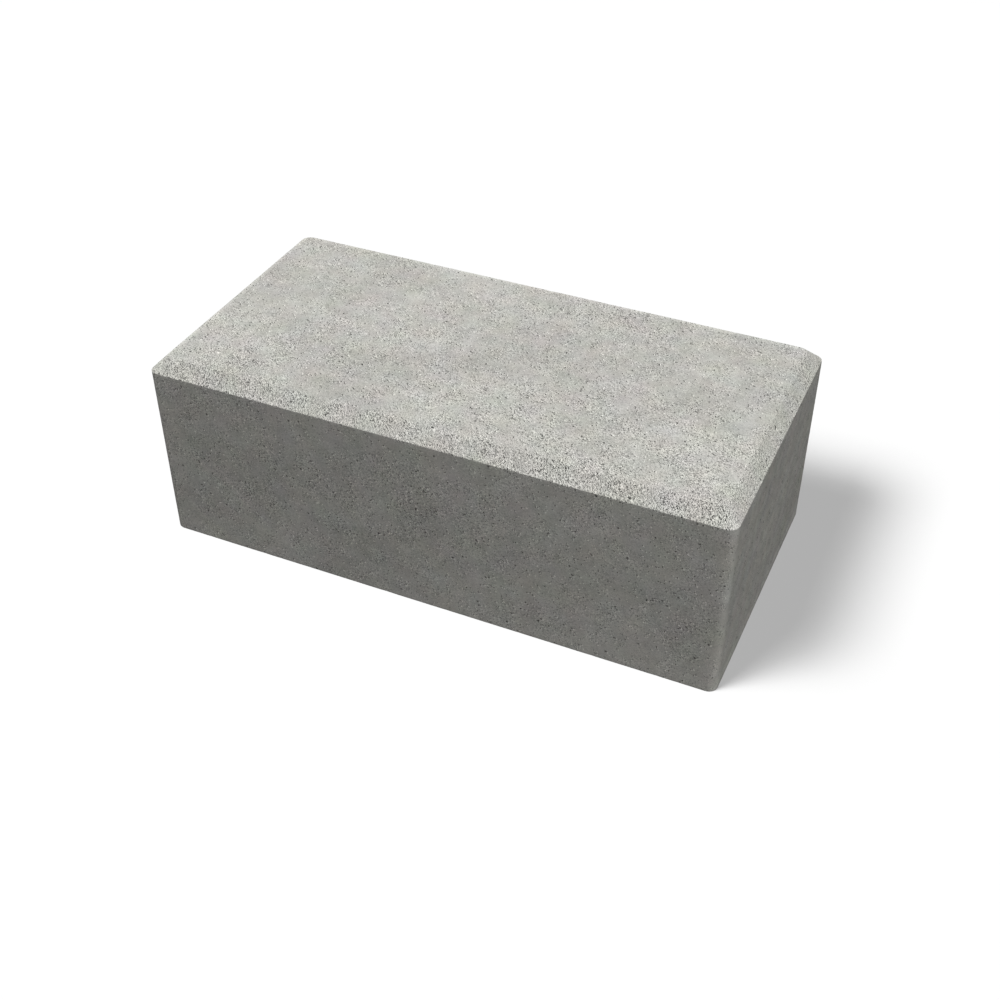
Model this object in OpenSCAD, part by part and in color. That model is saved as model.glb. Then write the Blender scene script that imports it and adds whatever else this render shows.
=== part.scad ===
// Solid concrete block for garden walls, pressed in a steel mould.
//
// The mould box gives the block plumb sides and rounded upright corners. The shoe that
// presses the top gives the chamfer round the top face, with mitres rounded to match the
// corners below them. The underside leaves the mould flat on its board, with a square arris.
//
// Millimetres. The origin is at the middle of the underside, +X runs along the wall and
// +Z is up.

/* [Block] */
// Length, along the wall
block_length = 400; // [200:5:600]
// Depth, through the wall
block_depth = 200; // [100:5:400]
// Height of one course
block_height = 140; // [60:5:250]

/* [Edges] */
// Width of the chamfer round the top face, in plan
chamfer_width = 9; // [2:0.5:20]
// Drop of the chamfer round the top face, down the side
chamfer_drop = 9; // [2:0.5:20]
// Radius of the upright corners
corner_radius = 6.5; // [2:0.5:20]

/* [Hidden] */
$fn = 96;

concrete = "#bdbcb6";
// How far a cutter runs past the faces that it opens
overcut = 2;
// How far a rounding stands proud of tangent, so that its cutter leaves no sliver
proud = 0.005;

half_length = block_length / 2;
half_depth = block_depth / 2;

// Two chamfers meet in a mitre, which climbs inwards from the corner of their lower arris
mitre_run = chamfer_width * sqrt(2);
mitre_length = norm([mitre_run, chamfer_drop]);
mitre_lean = atan2(mitre_run, chamfer_drop);
// Angle between the lower arris and the mitre
mitre_skew = acos(chamfer_width / mitre_length);
// Angle that the surface turns through at the mitre, from one chamfer to the other
chamfer_slope = norm([chamfer_width, chamfer_drop]);
mitre_turn = acos(pow(chamfer_width / chamfer_slope, 2));
// Radius that makes the mitre's rounding as wide as the upright corner's, where they meet
mitre_radius = corner_radius * sin(mitre_skew) / tan(mitre_turn / 2);

// Cuts the chamfer off the top edge that lies out along +X and is run long
module chamfer_cutter(out, run) {
    outside = out + chamfer_width;
    inside = out - 2 * chamfer_width;
    above = block_height + chamfer_drop;
    below = block_height - 2 * chamfer_drop;
    translate([0, run / 2 + overcut, 0])
        rotate([90, 0, 0])
            linear_extrude(run + 2 * overcut)
                polygon([[outside, below], [outside, above], [inside, above]]);
}

// Cuts an outside edge back to a rounding. The edge runs up +Z from the origin, its solid
// lies towards -X, and turn is the angle that the surface turns through at the edge.
module edge_cutter(radius, turn, length) {
    reach = radius + overcut;
    side = [reach * cos(turn / 2), reach * sin(turn / 2)];
    tip = [reach / cos(turn / 2), 0];
    translate([-radius / cos(turn / 2), 0, -overcut])
        linear_extrude(length + 2 * overcut)
            difference() {
                polygon([[0, 0], [side.x, -side.y], tip, side]);
                circle(radius + proud);
            }
}

// Rounds the upright corner at +X +Y and the mitre above it
module corner_cutter() {
    translate([half_length, half_depth, 0])
        rotate(45)
            edge_cutter(corner_radius, 90, block_height);
    translate([half_length, half_depth, block_height - chamfer_drop])
        rotate([0, -mitre_lean, 45])
            edge_cutter(mitre_radius, mitre_turn, mitre_length + corner_radius);
}

module wall_block() {
    color(concrete)
        difference() {
            translate([-half_length, -half_depth, 0])
                cube([block_length, block_depth, block_height]);
            for (turn = [0, 180]) {
                rotate(turn)
                    chamfer_cutter(half_length, block_depth);
                rotate(turn + 90)
                    chamfer_cutter(half_depth, block_length);
            }
            for (x = [0, 1], y = [0, 1])
                mirror([x, 0, 0])
                    mirror([0, y, 0])
                        corner_cutter();
        }
}

wall_block();
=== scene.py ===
"""The garden wall block as one concrete piece, on a white studio floor."""
import math
from types import SimpleNamespace

import bpy
import numpy as np
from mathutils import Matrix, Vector


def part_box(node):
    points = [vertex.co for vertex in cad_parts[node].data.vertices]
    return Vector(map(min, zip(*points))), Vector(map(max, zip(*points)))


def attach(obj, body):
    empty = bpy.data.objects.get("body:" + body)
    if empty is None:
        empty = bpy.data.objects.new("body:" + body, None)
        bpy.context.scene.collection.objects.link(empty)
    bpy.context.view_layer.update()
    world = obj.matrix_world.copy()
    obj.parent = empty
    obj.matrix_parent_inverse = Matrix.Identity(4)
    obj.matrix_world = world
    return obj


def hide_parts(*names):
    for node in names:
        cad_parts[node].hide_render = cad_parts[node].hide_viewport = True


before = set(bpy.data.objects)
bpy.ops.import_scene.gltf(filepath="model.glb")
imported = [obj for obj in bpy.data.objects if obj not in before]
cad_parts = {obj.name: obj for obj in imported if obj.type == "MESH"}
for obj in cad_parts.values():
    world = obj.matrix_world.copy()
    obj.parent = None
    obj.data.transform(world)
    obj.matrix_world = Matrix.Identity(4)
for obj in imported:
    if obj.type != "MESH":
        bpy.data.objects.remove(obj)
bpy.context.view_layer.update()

# ---- Sizes in metres --------------------------------------------------------------------------
LOW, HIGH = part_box("wall_block")
HALF_LENGTH = (HIGH.x - LOW.x) / 2
HALF_DEPTH = (HIGH.y - LOW.y) / 2
HEIGHT = HIGH.z - LOW.z
CHAMFER_WIDTH = 0.009
CHAMFER_DROP = 0.009
CORNER_RADIUS = 0.0065
TOP_ARRIS_RADIUS = 0.0012       # the top meets the chamfer
OUTER_ARRIS_RADIUS = 0.0003     # the chamfer meets the sides
BOTTOM_ARRIS_RADIUS = 0.0003

# ---- Mesh grid --------------------------------------------------------------------------------
CORNER_CELLS = 5                # cells on each side of a corner's square
LENGTH_CELLS = 222              # cells between the corners, along the block
DEPTH_CELLS = 106               # cells between the corners, across it
SIDE_CELLS = 76                 # rows of cells on the sides
CHAMFER_CELLS = 9               # rows of cells on the chamfer
ARRIS_CELLS = 3                 # rows of cells round each softened arris
BOTTOM_STEP = 4                 # one bottom cell for this many cells above it
BOTTOM_MARGIN = 0.0065          # from the bottom's outline to its own grid

# ---- Camera and light -------------------------------------------------------------------------
CAMERA_AZIMUTH = 24.277         # degrees from the front towards the right end
CAMERA_ELEVATION = 38.595
CAMERA_DISTANCE = 0.9026
CAMERA_AIM = Vector((0.03464, -0.05827, HEIGHT / 2))
CAMERA_LENS = 50
CAMERA_CLIP_START = 0.01
WORLD_LEVEL = 0.108
TOP_LIGHT_LEVEL = 0.823
TOP_LIGHT_LEAN = (-0.12, 0.03)  # towards +X and +Y, for each unit of height
TOP_LIGHT_SPREAD = 40
SIDE_LIGHT_LEVEL = 0.238        # what it gives a white sheet that faces it, at the block
SIDE_LIGHT_AZIMUTH = 43.5       # degrees from the front towards the right end
SIDE_LIGHT_ELEVATION = 15
SIDE_LIGHT_DISTANCE = 10
SIDE_LIGHT_SIZE = 3.6
SHADOW_LIGHTS = (               # level, how far the shadow moves along X and Y for a unit of height, spread
    (4.50, (0.461, 0.566), 22.7),
    (2.62, (0.534, 0.423), 20.4),
)
FLOOR_GLOW = 0.4173             # what the floor shows of its own, where no lamp reaches it
FLOOR_SHOWN = 0.10              # the share of the shadow lamps' light that the floor shows
FLOOR_BOUNCE = 0.03             # the light that the floor sends back onto the block
FLOOR_SIZE = 30

# ---- Relief, pressed into the surface ---------------------------------------------------------
LATTICE = 64                    # random numbers along each side of the lumps' table
SWELL_DEPTH = 0.00005
SWELL_SIZE = 0.030
GRAIN_DEPTH = 0.00003
GRAIN_RELIEF_SIZE = 0.0035
PIT_DEPTH = 0.00030
PIT_RELIEF_SIZE = 0.0045
PIT_START = 0.60                # only what rises above this makes a pit
CHIP_DEPTH = 0.00025
CHIP_SIZE = 0.006
CHIP_START = 0.30               # and above this a chip
CHIP_REACH = 0.0025             # chips stay this near the outer arris
BOTTOM_RELIEF = 0.5             # how much of the relief the bottom has
SWELL_SEED, GRAIN_SEED, PIT_SEED, CHIP_SEED, PAINTED_LIGHT_SEED = range(1, 6)

# ---- Fields over the surface, as (distance, value) pairs where they follow a distance ----------
ARRIS_FADE = 0.0005             # over this height above or below the outer arris a field fades in
OPEN_FROM_FRONT = ((0.008, 1), (0.010, 0.28), (0.032, 0))
OPEN_FROM_OTHERS = ((0.008, 0.76), (0.012, 0))
OPEN_LIFT = 0.001               # the open grain fades in from this far below the outer arris to above it
END_START = 0.0016              # the end's skin starts this far from the end's plane, on the round corner
END_FADE = 0.0014
SIDE_SMOOTHNESS = 0.30
LIP_SMOOTHNESS = 0.15           # added under the outer arris
LIP_HEIGHT = 0.004              # whole down to here, and gone as far again below
END_SMOOTHNESS = 0.56           # added on the ends
# Painted light in the tone: paler strips where the light falls, round the top, down the near right corner and
# along the right end's foot
PAINTED_LIGHT_LEFT_BACK = ((-0.0045, 0), (-0.0030, 0.06), (-0.0015, 0.17), (0, 0.20), (0.002, 0.36), (0.0045, 0.46))
PAINTED_LIGHT_FRONT_RIGHT = ((0, 0), (0.001, 0.10), (0.0075, 0.11), (0.0084, 0.28))
PAINTED_FOOT_LIGHT = ((0.002, 0), (0.0045, 0.22), (0.007, 0.20), (0.011, 0))
PAINTED_FOOT_MARGIN = 0.001             # the painted light at the foot stays this near the right end's plane
PAINTED_CORNER_HIGHLIGHT = 0.24
PAINTED_CORNER_ALONG_X = (0.35, 0.45)       # start and reach of the painted highlight's rise towards the right end, in corner radii
PAINTED_CORNER_ALONG_Y = (-0.15, 0.5)       # and towards the front
PAINTED_LIGHT_LUMP_SIZE = 0.007                # lumps that make all the painted light uneven
PAINTED_LIGHT_UNEVENNESS = 0.5
TONE_LAYERS = ((0.12, 6151, 0.060), (0.06, 17454, 0.054), (0.035, 6540, 0.064), (0.02, 6211, 0.044))
GRAIN_LAYERS = ((0.08, 16608, 0.23), (0.04, 18650, 0.25), (0.02, 3202, 0.09))
OPEN_TONE_LOSS = 0.4            # how much of the broad tones the open grain hides

# ---- Concrete: colour and finish --------------------------------------------------------------
CONCRETE = (0.509, 0.503, 0.468)
DARKEST = 0.10                  # limits of the tone that multiplies the colour
PALEST = 1.93
TONE_LIFT = 0.02
TINT_SHARE = 0.045              # how far the hue drifts
ROUGHNESS = (0.82, 0.96)        # over the grain's span
SPECULAR_LEVEL = 0.25
BUMP_DEPTH = 0.00012

# ---- Concrete: sizes of its patterns ----------------------------------------------------------
DUST_SIZE = 0.00038
SAND_SIZE = 0.00062
PIT_SIZE = 0.00105
HOLE_SIZE = 0.0020
STONE_SIZE = 0.0024
GRAIN_SIZE = 0.0024
CLOUD_SIZE = 0.010
PATCH_SIZE = 0.016              # patches of smoother and rougher concrete
TINT_SIZE = 0.020
GRAIN_RUN = Vector((0.75, -0.47, -0.47)).normalized()    # the way in which the grains are drawn out
GRAIN_STRETCH = 1.8
PAINTED_HIGHLIGHT_SHIFT = (-0.0005, -0.0003, 0.0002)      # from a pit or hole to the painted highlight on the rim beside it
DUST_SHADE_SHIFT = (-0.0003, -0.0002, 0.0001)     # from a dust grain to the painted shade set beside it
STONE_SHADOW_SHIFT = (0.0009, -0.0005, -0.0006)    # from a stone to the shadow painted beside it
BEND_SIZE = 0.0012              # bends the grains' outlines
BEND_REACH = 0.0008
TEAR_SIZE = 0.0008              # tears the pits' outlines
TEAR_REACH = 0.0018
DOT_FADE = (0.20, 0.45)         # a dot fades out between these shares of its cell

# ---- Concrete: weights of its patterns in the tone --------------------------------------------
PALE_MEAN = 2 / 3               # the mean of the pale cells
PATCH_SPAN = (0.38, 0.62)       # the patches' noise, from smooth to rough
PATCH_CONTRAST = (0.42, 1.14)
GRAIN_SPAN = (0.3, 0.7)         # the soft grain's noise, from its lows to its highs
SAND_WEIGHT = 0.56
DUST_WEIGHT = 1.28
GRAIN_WEIGHT = 0.42
OPEN_FINE_LOSS = 0.85           # how much of sand, dust and grain gives way to the dust with its painted shade
CRISP_WEIGHT = (1.5, 3.3)       # in smooth and in rough patches
DUST_PAINTED_SHADE = 0.88            # how much of the grain beside it is taken off, as painted shade
CLOUD_WEIGHT = 0.46
CLOUD_ON_OPEN = -0.85           # on open grain the clouds are this much weaker
CLOUD_ON_END = 0.45             # and on the ends this much stronger, as shares of their weight
# pits are painted dark as shade, and the rims beside them painted light as highlights
PIT_PAINTED_SHADE = -1.14
PIT_PAINTED_HIGHLIGHT = 0.92
PIT_PATCH_SPAN = (0.42, 0.62)
PIT_SHARE = (0.10, -0.090, 0.108)       # of the cells: in rough patches, on open grain, everywhere
PIT_STRENGTH = (0.7, 0.6, 0.60)         # with the contrast, on open grain, everywhere
# holes are painted dark as shade, and the rims beside them painted light as highlights
HOLE_PAINTED_SHADE = -0.95
HOLE_PAINTED_HIGHLIGHT = 0.60
HOLE_SHARE = (0.04, -0.025, 0.03)       # of the cells: on the ends, on open grain, everywhere
# pale stones, each with a painted shadow beside it
STONE_WEIGHT = 1.3
STONE_PAINTED_SHADOW = -1.2
STONE_SHARE = 0.014                     # of the cells on open grain

# ---- Concrete: weights of its patterns in the bump --------------------------------------------
SAND_HEIGHT = -0.4              # falls with the distance from a grain's middle
GRAIN_HEIGHT = 0.6
PIT_HEIGHT = -1.2
OPEN_HEIGHT_LOSS = 0.6          # how much less of sand and grain the open grain's bump has


# ---- The block's smooth form ------------------------------------------------------------------
def grid_lines(half, cells):
    """Grid lines from -half to half, with even cells in the corners and between them."""
    inner = half - CORNER_RADIUS
    corner = np.linspace(inner, half, CORNER_CELLS + 1)
    middle = np.linspace(-inner, inner, cells + 1)
    return np.concatenate([-corner[:0:-1], middle, corner[1:]])


def round_corners(x, y, half_x, half_y):
    """Bends each square corner of a plan grid into a quarter disc."""
    over_x = np.abs(x) - (half_x - CORNER_RADIUS)
    over_y = np.abs(y) - (half_y - CORNER_RADIUS)
    inside = (over_x > 0) & (over_y > 0)
    reach = np.where(inside, np.maximum(over_x, over_y), 1.0)
    turn = np.where(inside, np.minimum(over_x, over_y), 0.0) / reach * math.pi / 4
    along = reach * np.cos(turn)
    across = reach * np.sin(turn)
    x_leads = over_x >= over_y
    new_x = np.sign(x) * (half_x - CORNER_RADIUS + np.where(x_leads, along, across))
    new_y = np.sign(y) * (half_y - CORNER_RADIUS + np.where(x_leads, across, along))
    return np.where(inside, new_x, x), np.where(inside, new_y, y)


def plate(inset, height, step=1):
    """Rows of points over the plan, inset from the sides, with only every step-th grid line."""
    half_x = HALF_LENGTH - inset
    half_y = HALF_DEPTH - inset
    x, y = np.meshgrid(grid_lines(half_x, LENGTH_CELLS)[::step], grid_lines(half_y, DEPTH_CELLS)[::step])
    x, y = round_corners(x, y, half_x, half_y)
    return np.stack([x, y, np.full_like(x, height)], axis=-1)


def rim(rows):
    """The outer loop of a grid of points or numbers, counter-clockwise from above."""
    return np.concatenate([rows[0, :-1], rows[:-1, -1], rows[-1, :0:-1], rows[:0:-1, 0]])


def softened(corner, before, after, radius):
    """Points of a small arc in place of a profile's corner."""
    corner, before, after = (np.array(point, float) for point in (corner, before, after))
    back = (before - corner) / np.linalg.norm(before - corner)
    ahead = (after - corner) / np.linalg.norm(after - corner)
    half_angle = math.acos(np.dot(back, ahead)) / 2
    centre = corner + (back + ahead) / np.linalg.norm(back + ahead) * radius / math.sin(half_angle)
    start = corner + back * radius / math.tan(half_angle) - centre
    end = corner + ahead * radius / math.tan(half_angle) - centre
    sweep = math.acos(np.dot(start, end) / radius ** 2)
    share = np.linspace(0, 1, ARRIS_CELLS + 1)[:, None]
    return centre + (np.sin((1 - share) * sweep) * start + np.sin(share * sweep) * end) / math.sin(sweep)


def profile():
    """(inset, height) of each ring of points, from the top's rim down to the bottom's."""
    centre = (HALF_DEPTH, HEIGHT)
    top_arris = (CHAMFER_WIDTH, HEIGHT)
    outer_arris = (0, HEIGHT - CHAMFER_DROP)
    foot = (0, 0)
    top_arc = softened(top_arris, centre, outer_arris, TOP_ARRIS_RADIUS)
    outer_arc = softened(outer_arris, top_arris, foot, OUTER_ARRIS_RADIUS)
    foot_arc = softened(foot, outer_arris, (HALF_DEPTH, 0), BOTTOM_ARRIS_RADIUS)
    chamfer = np.linspace(top_arc[-1], outer_arc[0], CHAMFER_CELLS + 1)[1:-1]
    side = np.linspace(outer_arc[-1], foot_arc[0], SIDE_CELLS + 1)[1:-1]
    return np.concatenate([top_arc, chamfer, outer_arc, side, foot_arc])


def block_form():
    """Points and faces of the whole closed surface, before any relief."""
    points = []
    faces = []

    def store(block):
        start = sum(len(part) for part in points)
        points.append(block.reshape(-1, 3))
        return start + np.arange(block.size // 3).reshape(block.shape[:-1])

    def quads(ids):
        corners = [ids[:-1, :-1], ids[:-1, 1:], ids[1:, 1:], ids[1:, :-1]]
        return np.stack(corners, axis=-1).reshape(-1, 4).tolist()

    rings = profile()
    top = store(plate(*rings[0]))
    faces.extend(quads(top))
    loops = [rim(top)] + [store(rim(plate(inset, height))) for inset, height in rings[1:]]
    around = np.array(loops)
    around = np.concatenate([around, around[:, :1]], axis=1)
    faces.extend(quads(around[::-1]))
    inset, height = rings[-1]
    bottom = store(plate(inset + BOTTOM_MARGIN, height, BOTTOM_STEP))
    faces.extend(quads(bottom[::-1]))
    inner = rim(bottom)
    outer = loops[-1]
    for index in range(len(inner)):
        after = (index + 1) % len(inner)
        first = index * BOTTOM_STEP
        span = [outer[(first + step) % len(outer)] for step in range(BOTTOM_STEP + 1)]
        faces.append([inner[index], inner[after]] + span[::-1])
    return np.concatenate(points), faces


# ---- Relief -----------------------------------------------------------------------------------
def lumps(points, size, seed):
    """Smooth noise from -1 to 1, with lumps about size across."""
    table = np.random.default_rng(seed).uniform(-1, 1, (LATTICE, LATTICE, LATTICE))
    place = points / size + LATTICE / 2
    base = np.floor(place).astype(int)
    part = place - base
    part = part * part * (3 - 2 * part)
    total = np.zeros(len(points))
    for corner in np.ndindex(2, 2, 2):
        x, y, z = ((base + corner) % LATTICE).T
        total += np.prod(np.where(corner, part, 1 - part), axis=1) * table[x, y, z]
    return total


def layered(points, layers):
    """Lumps of several sizes on top of each other. A layer is its size, seed and weight."""
    return sum(weight * lumps(points, size, seed) for size, seed, weight in layers)


def arris_nearness(points, reach):
    """1 on the outer arris, falling to 0 at reach from it."""
    out_x = HALF_LENGTH - np.abs(points[:, 0])
    out_y = HALF_DEPTH - np.abs(points[:, 1])
    drop = points[:, 2] - (HEIGHT - CHAMFER_DROP)
    away = np.hypot(np.minimum(out_x, out_y), drop)
    return np.clip(1 - away / reach, 0, 1)


def relief_depth(points):
    """How far each point is pushed into the block, in metres."""
    swell = SWELL_DEPTH * (1 + lumps(points, SWELL_SIZE, SWELL_SEED))
    grain = GRAIN_DEPTH * (1 + lumps(points, GRAIN_RELIEF_SIZE, GRAIN_SEED))
    pits = PIT_DEPTH * np.clip(lumps(points, PIT_RELIEF_SIZE, PIT_SEED) - PIT_START, 0, 1) / (1 - PIT_START)
    chips = CHIP_DEPTH * np.clip(lumps(points, CHIP_SIZE, CHIP_SEED) - CHIP_START, 0, 1)
    return swell + grain + pits + chips * arris_nearness(points, CHIP_REACH)


# ---- Fields over the surface ------------------------------------------------------------------
def rise(values, start, reach):
    """0 up to start, and from there rising to 1 over the reach."""
    return np.clip((values - start) / reach, 0, 1)


def follow(curve, distance):
    """Reads a curve of (distance, value) pairs at each distance."""
    places, values = zip(*curve)
    return np.interp(distance, places, values)


def openness(points):
    """0 to 1: how open the grain is. It is highest on the chamfer, and most of all in front."""
    lift = rise(points[:, 2], HEIGHT - CHAMFER_DROP - OPEN_LIFT, 2 * OPEN_LIFT)
    from_front = points[:, 1] + HALF_DEPTH
    from_others = np.minimum(HALF_LENGTH - np.abs(points[:, 0]), HALF_DEPTH - points[:, 1])
    return lift * np.maximum(follow(OPEN_FROM_FRONT, from_front), follow(OPEN_FROM_OTHERS, from_others))


def at_end(points):
    """1 on the two ends, 0 on the front and the back, and between them round the corners."""
    return rise(np.abs(points[:, 0]), HALF_LENGTH - END_START, END_FADE)


def smoothness(points):
    """0 to 1: how smooth the mould left the surface. The ends are smoother than the front and the back."""
    below = (HEIGHT - CHAMFER_DROP) - points[:, 2]
    side = rise(below, 0, ARRIS_FADE)
    lip = 1 - rise(below, LIP_HEIGHT, LIP_HEIGHT)
    return side * (SIDE_SMOOTHNESS + LIP_SMOOTHNESS * lip + END_SMOOTHNESS * at_end(points))


def top_painted_light(points):
    """Painted light round the top, which is strong along the left and the back and slight along the rest."""
    over_x = np.abs(points[:, 0]) - (HALF_LENGTH - CHAMFER_WIDTH)
    over_y = np.abs(points[:, 1]) - (HALF_DEPTH - CHAMFER_WIDTH)
    beyond = np.maximum(over_x, over_y)
    left_or_back = np.where(over_x > over_y, points[:, 0] < 0, points[:, 1] > 0)
    on_top = rise(points[:, 2], HEIGHT - CHAMFER_DROP, ARRIS_FADE)
    return on_top * np.where(left_or_back, follow(PAINTED_LIGHT_LEFT_BACK, beyond), follow(PAINTED_LIGHT_FRONT_RIGHT, beyond))


def corner_painted_highlight(points):
    """The painted highlight down the near right corner."""
    to_right = (points[:, 0] - (HALF_LENGTH - CORNER_RADIUS)) / CORNER_RADIUS
    to_front = (-points[:, 1] - (HALF_DEPTH - CORNER_RADIUS)) / CORNER_RADIUS
    return PAINTED_CORNER_HIGHLIGHT * np.minimum(rise(to_right, *PAINTED_CORNER_ALONG_X), rise(to_front, *PAINTED_CORNER_ALONG_Y))


def foot_painted_light(points):
    """Painted light along the foot of the right end, lighter just above the floor."""
    return follow(PAINTED_FOOT_LIGHT, points[:, 2]) * (points[:, 0] > HALF_LENGTH - PAINTED_FOOT_MARGIN)


def painted_light(points):
    """How much paler the painted light makes the surface than the rest, as a share of its tone."""
    uneven = 1 + PAINTED_LIGHT_UNEVENNESS * lumps(points, PAINTED_LIGHT_LUMP_SIZE, PAINTED_LIGHT_SEED)
    return (top_painted_light(points) + corner_painted_highlight(points) + foot_painted_light(points)) * uneven


def block_piece():
    """The block's surface as one closed mesh, with the relief pressed into it."""
    points, faces = block_form()
    mesh = bpy.data.meshes.new("block_surface")
    mesh.from_pydata(points.tolist(), [], faces)
    mesh.shade_smooth()
    normals = np.empty(len(points) * 3)
    mesh.vertices.foreach_get("normal", normals)
    depth = relief_depth(points)
    on_floor = points[:, 2] < BOTTOM_ARRIS_RADIUS / 2
    depth[on_floor] *= BOTTOM_RELIEF
    moved = points - normals.reshape(-1, 3) * depth[:, None]
    mesh.vertices.foreach_set("co", moved.ravel())
    open_grain = openness(points)
    fields = {
        "open_grain": open_grain,
        "at_end": at_end(points),
        "contrast": (1 + layered(points, GRAIN_LAYERS)) * (1 - smoothness(points)),
        # the tone holds random broad tones and the painted light
        "tone": 1 + layered(points, TONE_LAYERS) * (1 - OPEN_TONE_LOSS * open_grain) + painted_light(points),
    }
    for name, values in fields.items():
        mesh.attributes.new(name, "FLOAT", "POINT").data.foreach_set("value", values)
    mesh.update()
    piece = bpy.data.objects.new("block_surface", mesh)
    bpy.context.scene.collection.objects.link(piece)
    return piece


# ---- Materials --------------------------------------------------------------------------------
def add(tree, kind, inputs, **settings):
    """Adds a node. Each input is a value, or another node's output to link."""
    node = tree.nodes.new(kind)
    for name, value in settings.items():
        setattr(node, name, value)
    for name, value in inputs.items():
        if isinstance(value, bpy.types.NodeSocket):
            tree.links.new(value, node.inputs[name])
        else:
            node.inputs[name].default_value = value
    return node


def maths(tree, operation, first, second):
    return add(tree, "ShaderNodeMath", {0: first, 1: second}, operation=operation).outputs[0]


def spread(tree, value, low, high, new_low, new_high, smooth=True):
    """Maps low to high onto new_low to new_high, and holds the ends."""
    kind = "SMOOTHSTEP" if smooth else "LINEAR"
    inputs = {"Value": value, "From Min": low, "From Max": high, "To Min": new_low, "To Max": new_high}
    return add(tree, "ShaderNodeMapRange", inputs, interpolation_type=kind).outputs["Result"]


def shifted(tree, place, shift):
    return add(tree, "ShaderNodeVectorMath", {0: place, 1: shift}, operation="ADD").outputs[0]


def noise(tree, place, size, detail=2.0, roughness=0.5, output="Fac", shift=0.0):
    """Noise whose largest lumps are about size metres across. shift moves it to another place."""
    moved = shifted(tree, place, (shift, shift, shift))
    inputs = {"Vector": moved, "Scale": 1 / size, "Detail": detail, "Roughness": roughness}
    return add(tree, "ShaderNodeTexNoise", inputs).outputs[output]


def ramp_up(tree, value, low, high):
    return spread(tree, value, low, high, 0.0, 1.0)


def ramp_down(tree, value, low, high):
    return spread(tree, value, low, high, 1.0, 0.0)


def total(tree, *terms):
    """Adds up (value, weight) pairs."""
    result = 0.0
    for value, weight in terms:
        inputs = {0: value, 1: weight, 2: result}
        result = add(tree, "ShaderNodeMath", inputs, operation="MULTIPLY_ADD").outputs[0]
    return result


def cells(tree, place, size):
    """A random number from 0 to 1 for each cell about size across, and the distance from its middle."""
    cell = add(tree, "ShaderNodeTexVoronoi", {"Vector": place, "Scale": 1 / size})
    draw = add(tree, "ShaderNodeSeparateColor", {"Color": cell.outputs["Color"]}).outputs["Red"]
    return draw, cell.outputs["Distance"]


def pale_cells(tree, place, size):
    """As cells, but with the numbers' square roots: most are pale and few dark. Their mean is PALE_MEAN."""
    draw, reach = cells(tree, place, size)
    return maths(tree, "POWER", draw, 0.5), reach


def dots(tree, place, size, kept):
    """Scattered dots of about a third of size across, in the share of the cells that kept gives."""
    draw, reach = cells(tree, place, size)
    shown = maths(tree, "LESS_THAN", draw, kept)
    return maths(tree, "MULTIPLY", ramp_down(tree, reach, *DOT_FADE), shown)


def paired_dots(tree, place, size, kept, shift):
    """Dots, and the same dots moved by the shift, for what lies beside each."""
    return dots(tree, place, size, kept), dots(tree, shifted(tree, place, shift), size, kept)


def drawn_out(tree, place):
    """Squeezes space along GRAIN_RUN, so that a pattern in it comes out longer that way."""
    along = add(tree, "ShaderNodeVectorMath", {0: place, 1: GRAIN_RUN}, operation="DOT_PRODUCT")
    inputs = {0: along.outputs["Value"], 1: GRAIN_RUN * (1 / GRAIN_STRETCH - 1), 2: place}
    return add(tree, "ShaderNodeVectorMath", inputs, operation="MULTIPLY_ADD").outputs[0]


def warped(tree, space, place, size, reach, shift):
    """Moves space about by noise of the given size, so that no two cells in it have the same outline."""
    wander = noise(tree, place, size, detail=1.0, output="Color", shift=shift)
    inputs = {0: wander, 1: (reach, reach, reach), 2: space}
    return add(tree, "ShaderNodeVectorMath", inputs, operation="MULTIPLY_ADD").outputs[0]


def attribute(tree, name):
    return add(tree, "ShaderNodeAttribute", {}, attribute_name=name).outputs["Fac"]


def surface_fields(tree, place):
    """What varies over the surface: the mesh's fields, and patches of smoother and rougher concrete."""
    fields = SimpleNamespace()
    fields.open_grain = attribute(tree, "open_grain")
    fields.at_end = attribute(tree, "at_end")
    fields.contrast = attribute(tree, "contrast")
    # random broad tones together with the painted light
    fields.broad_tone = attribute(tree, "tone")
    fields.patches = noise(tree, place, PATCH_SIZE, detail=4.0, roughness=0.6)
    patch_contrast = spread(tree, fields.patches, *PATCH_SPAN, *PATCH_CONTRAST)
    fields.patchy = maths(tree, "MULTIPLY", patch_contrast, fields.contrast)
    return fields


def fine_grain(tree, sand, dust, grain, fields):
    """Sand, dust and soft grain, around 0. Open grain has little of it."""
    # The soft grain's noise has a mean of a half.
    mean = (SAND_WEIGHT + DUST_WEIGHT) * PALE_MEAN + GRAIN_WEIGHT / 2
    fine = total(tree, (sand, SAND_WEIGHT), (dust, DUST_WEIGHT), (grain, GRAIN_WEIGHT), (1.0, -mean))
    fine = maths(tree, "MULTIPLY", fine, total(tree, (fields.open_grain, -OPEN_FINE_LOSS), (1.0, 1.0)))
    return maths(tree, "MULTIPLY", fine, fields.patchy)


def dust_with_painted_shade(tree, dust, bent, fields):
    """The dust of the open grain, around 0, with painted shade: each grain is set off against the one beside
    it.
    """
    beside, _ = pale_cells(tree, shifted(tree, bent, DUST_SHADE_SHIFT), DUST_SIZE)
    mean = (1 - DUST_PAINTED_SHADE) * PALE_MEAN
    crisp = total(tree, (dust, 1.0), (beside, -DUST_PAINTED_SHADE), (1.0, -mean))
    crisp = maths(tree, "MULTIPLY", crisp, spread(tree, fields.patches, *PATCH_SPAN, *CRISP_WEIGHT))
    return maths(tree, "MULTIPLY", crisp, maths(tree, "MULTIPLY", fields.open_grain, fields.contrast))


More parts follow.
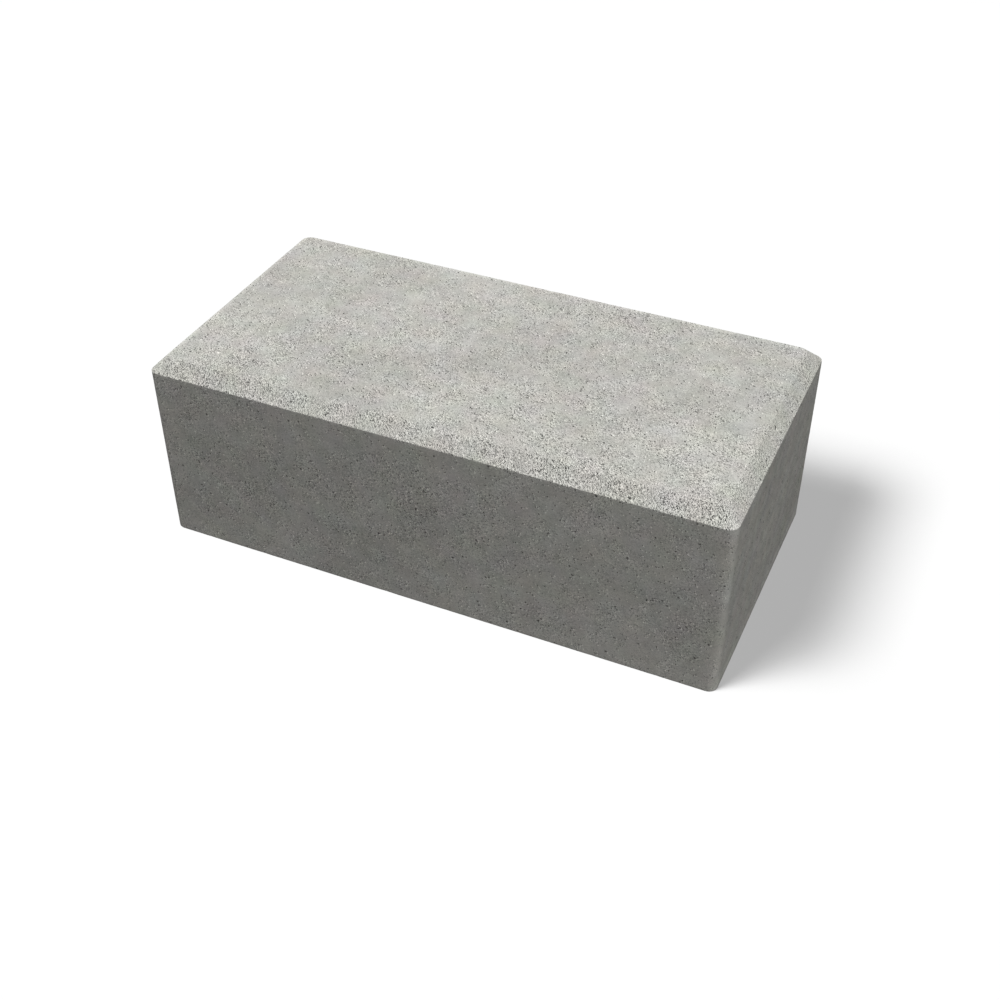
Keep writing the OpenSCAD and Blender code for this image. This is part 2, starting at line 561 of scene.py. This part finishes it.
def cloudiness(tree, place, fields):
    """Soft clouds, around 0."""
    clouds = noise(tree, place, CLOUD_SIZE, shift=0.7)
    around_zero = total(tree, (clouds, CLOUD_WEIGHT), (1.0, -CLOUD_WEIGHT / 2))
    strength = total(tree, (fields.open_grain, CLOUD_ON_OPEN), (fields.at_end, CLOUD_ON_END), (1.0, 1.0))
    return maths(tree, "MULTIPLY", around_zero, strength)


def pits_and_painted_highlights(tree, torn, fields):
    """Small pits, painted dark as shade, and the highlights painted on the rims beside them."""
    in_rough, on_open, everywhere = PIT_SHARE
    rough = ramp_up(tree, fields.patches, *PIT_PATCH_SPAN)
    share = total(tree, (rough, in_rough), (fields.open_grain, on_open), (1.0, everywhere))
    with_contrast, on_open, everywhere = PIT_STRENGTH
    strength = total(tree, (fields.contrast, with_contrast), (fields.open_grain, on_open), (1.0, everywhere))
    pits, rims = paired_dots(tree, torn, PIT_SIZE, share, PAINTED_HIGHLIGHT_SHIFT)
    return maths(tree, "MULTIPLY", pits, strength), maths(tree, "MULTIPLY", rims, strength)


def holes_and_painted_highlights(tree, torn, fields):
    """The few larger holes, painted dark as shade, and the highlights painted on the rims beside them."""
    on_end, on_open, everywhere = HOLE_SHARE
    share = total(tree, (fields.at_end, on_end), (fields.open_grain, on_open), (1.0, everywhere))
    return paired_dots(tree, torn, HOLE_SIZE, share, PAINTED_HIGHLIGHT_SHIFT)


def stones_and_painted_shadows(tree, bent, fields):
    """Pale stones in the open grain, and the shadows painted dark beside them."""
    share = maths(tree, "MULTIPLY", fields.open_grain, STONE_SHARE)
    return paired_dots(tree, bent, STONE_SIZE, share, STONE_SHADOW_SHIFT)


def concrete_colour(tree, place, tone):
    """The concrete's colour with a slight drift of its hue, times the tone."""
    tints = noise(tree, place, TINT_SIZE, detail=1.0, output="Color", shift=0.9)
    tint = add(tree, "ShaderNodeMix", {"Factor": TINT_SHARE}, data_type="RGBA", blend_type="MIX")
    tint.inputs["A"].default_value = (0.5, 0.5, 0.5, 1)
    tree.links.new(tints, tint.inputs["B"])
    doubled = tuple(2 * channel for channel in CONCRETE)    # as the tints lie around a half
    hue = add(tree, "ShaderNodeVectorMath", {0: tint.outputs["Result"], 1: doubled}, operation="MULTIPLY")
    return add(tree, "ShaderNodeVectorMath", {0: hue.outputs[0], "Scale": tone}, operation="SCALE").outputs[0]


def concrete_bump(tree, sand_reach, grain, pits, holes, fields):
    """The surface's normal, with sand grains, pits and holes too small for the mesh."""
    ground = total(tree, (sand_reach, SAND_HEIGHT), (grain, GRAIN_HEIGHT))
    shown = total(tree, (fields.open_grain, -OPEN_HEIGHT_LOSS), (1.0, 1.0))
    ground = maths(tree, "MULTIPLY", ground, maths(tree, "MULTIPLY", fields.patchy, shown))
    height = total(tree, (ground, 1.0), (pits, PIT_HEIGHT), (holes, PIT_HEIGHT))
    inputs = {"Strength": 1.0, "Distance": BUMP_DEPTH, "Height": height}
    return add(tree, "ShaderNodeBump", inputs).outputs["Normal"]


def concrete_material():
    material = bpy.data.materials.new("concrete")
    material.use_nodes = True
    tree = material.node_tree
    shader = tree.nodes["Principled BSDF"]
    place = add(tree, "ShaderNodeTexCoord", {}).outputs["Object"]
    fields = surface_fields(tree, place)

    drawn = drawn_out(tree, place)
    bent = warped(tree, drawn, place, BEND_SIZE, BEND_REACH, shift=0.4)
    torn = warped(tree, drawn, place, TEAR_SIZE, TEAR_REACH, shift=0.6)
    sand, sand_reach = pale_cells(tree, bent, SAND_SIZE)
    dust, _ = pale_cells(tree, bent, DUST_SIZE)
    grain = noise(tree, place, GRAIN_SIZE, detail=3.0, roughness=0.7, shift=0.3)
    pits, pit_painted_highlights = pits_and_painted_highlights(tree, torn, fields)
    holes, hole_painted_highlights = holes_and_painted_highlights(tree, torn, fields)
    stones, stone_painted_shadows = stones_and_painted_shadows(tree, bent, fields)

    # pits and holes are painted dark as shade with painted highlights on their rims; stones and dust grains
    # have painted shade beside them; the broad tone carries the painted light
    tone = total(
        tree,
        (fine_grain(tree, sand, dust, grain, fields), 1.0),
        (dust_with_painted_shade(tree, dust, bent, fields), 1.0),
        (stones, STONE_WEIGHT),
        (stone_painted_shadows, STONE_PAINTED_SHADOW),
        (cloudiness(tree, place, fields), 1.0),
        (pits, PIT_PAINTED_SHADE),
        (pit_painted_highlights, PIT_PAINTED_HIGHLIGHT),
        (holes, HOLE_PAINTED_SHADE),
        (hole_painted_highlights, HOLE_PAINTED_HIGHLIGHT),
        (fields.broad_tone, 1.0),
        (1.0, TONE_LIFT),
    )
    tone = maths(tree, "MINIMUM", maths(tree, "MAXIMUM", tone, DARKEST), PALEST)

    tree.links.new(concrete_colour(tree, place, tone), shader.inputs["Base Color"])
    tree.links.new(concrete_bump(tree, sand_reach, grain, pits, holes, fields), shader.inputs["Normal"])
    tree.links.new(spread(tree, grain, *GRAIN_SPAN, *ROUGHNESS, smooth=False), shader.inputs["Roughness"])
    shader.inputs["Specular IOR Level"].default_value = SPECULAR_LEVEL
    return material


def seen_ray(tree):
    """1 for rays from the camera, or by way of gloss or glass."""
    rays = add(tree, "ShaderNodeLightPath", {}).outputs
    seen = maths(tree, "MAXIMUM", rays["Is Camera Ray"], rays["Is Glossy Ray"])
    return maths(tree, "MAXIMUM", seen, rays["Is Transmission Ray"])


def floor_material():
    """White with the block's shadow to the camera, and a faint even glow to the block."""
    material = bpy.data.materials.new("studio_floor")
    material.use_nodes = True
    tree = material.node_tree
    tree.nodes.clear()
    grey = (FLOOR_SHOWN, FLOOR_SHOWN, FLOOR_SHOWN, 1)
    lit = add(tree, "ShaderNodeBsdfDiffuse", {"Color": grey}).outputs[0]
    glow = add(tree, "ShaderNodeEmission", {"Strength": FLOOR_GLOW}).outputs[0]
    bounce = add(tree, "ShaderNodeEmission", {"Strength": FLOOR_BOUNCE}).outputs[0]
    shown = add(tree, "ShaderNodeAddShader", {0: lit, 1: glow}).outputs[0]
    mixed = add(tree, "ShaderNodeMixShader", {0: seen_ray(tree), 1: bounce, 2: shown}).outputs[0]
    add(tree, "ShaderNodeOutputMaterial", {"Surface": mixed})
    return material


# ---- Stage ------------------------------------------------------------------------------------
def add_floor():
    half = FLOOR_SIZE / 2
    mesh = bpy.data.meshes.new("floor")
    corners = [(-half, -half, 0), (half, -half, 0), (half, half, 0), (-half, half, 0)]
    mesh.from_pydata(corners, [], [(0, 1, 2, 3)])
    floor = bpy.data.objects.new("floor", mesh)
    mesh.materials.append(floor_material())
    bpy.context.scene.collection.objects.link(floor)
    return floor


def add_world():
    world = bpy.data.worlds.new("studio")
    bpy.context.scene.world = world
    world.use_nodes = True
    tree = world.node_tree
    level = spread(tree, seen_ray(tree), 0.0, 1.0, WORLD_LEVEL, 1.0, smooth=False)
    tree.links.new(level, tree.nodes["Background"].inputs["Strength"])
    tree.nodes["Background"].inputs["Color"].default_value = (1, 1, 1, 1)


def add_sun(name, level, towards, spread_angle):
    """A soft distant lamp. level is the brightness that it gives a white sheet square to it."""
    lamp = bpy.data.lights.new(name, "SUN")
    lamp.energy = level * math.pi
    lamp.angle = math.radians(spread_angle)
    sun = bpy.data.objects.new(name, lamp)
    sun.rotation_euler = Vector(towards).to_track_quat("-Z", "Y").to_euler()
    bpy.context.scene.collection.objects.link(sun)
    return sun


def outward(azimuth, elevation):
    """The direction at an azimuth from the front towards the right end, and an elevation, in degrees."""
    azimuth = math.radians(azimuth)
    elevation = math.radians(elevation)
    flat = math.cos(elevation)
    return Vector((math.sin(azimuth) * flat, -math.cos(azimuth) * flat, math.sin(elevation)))


def add_side_light():
    """A soft square lamp that faces the block's near right corner from a little above."""
    lamp = bpy.data.lights.new("side_light", "AREA")
    lamp.size = SIDE_LIGHT_SIZE
    lamp.energy = SIDE_LIGHT_LEVEL * (math.pi * SIDE_LIGHT_DISTANCE) ** 2
    side_light = bpy.data.objects.new("side_light", lamp)
    away = outward(SIDE_LIGHT_AZIMUTH, SIDE_LIGHT_ELEVATION)
    side_light.location = away * SIDE_LIGHT_DISTANCE
    side_light.rotation_euler = (-away).to_track_quat("-Z", "Y").to_euler()
    bpy.context.scene.collection.objects.link(side_light)
    return side_light


def light_only(lamps, thing):
    """Makes the lamps light nothing but the thing. Whatever is in their way still shades it."""
    lit = bpy.data.collections.new("lit_" + thing.name)
    lit.objects.link(thing)
    for lamp in lamps:
        lamp.light_linking.receiver_collection = lit


def add_lights(piece, floor):
    lean_x, lean_y = TOP_LIGHT_LEAN
    side_light = add_side_light()
    top_light = add_sun("top_light", TOP_LIGHT_LEVEL, (-lean_x, -lean_y, -1), TOP_LIGHT_SPREAD)
    shadow_lights = [
        add_sun("shadow_light", level, (*fall, -1), spread_angle)
        for level, fall, spread_angle in SHADOW_LIGHTS
    ]
    light_only([side_light, top_light], piece)
    light_only(shadow_lights, floor)


def add_camera():
    back = outward(CAMERA_AZIMUTH, CAMERA_ELEVATION)
    data = bpy.data.cameras.new("camera")
    data.lens = CAMERA_LENS
    data.clip_start = CAMERA_CLIP_START
    camera = bpy.data.objects.new("camera", data)
    camera.location = CAMERA_AIM + back * CAMERA_DISTANCE
    camera.rotation_euler = (-back).to_track_quat("-Z", "Y").to_euler()
    bpy.context.scene.collection.objects.link(camera)
    bpy.context.scene.camera = camera


def main():
    piece = block_piece()
    piece.data.materials.append(concrete_material())
    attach(piece, "root")
    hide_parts("wall_block")
    floor = add_floor()
    add_world()
    add_lights(piece, floor)
    add_camera()
    bpy.context.scene.view_settings.view_transform = "Standard"
    bpy.context.scene.cycles.denoising_prefilter = "NONE"   # the other prefilters wash out the sand grains


main()
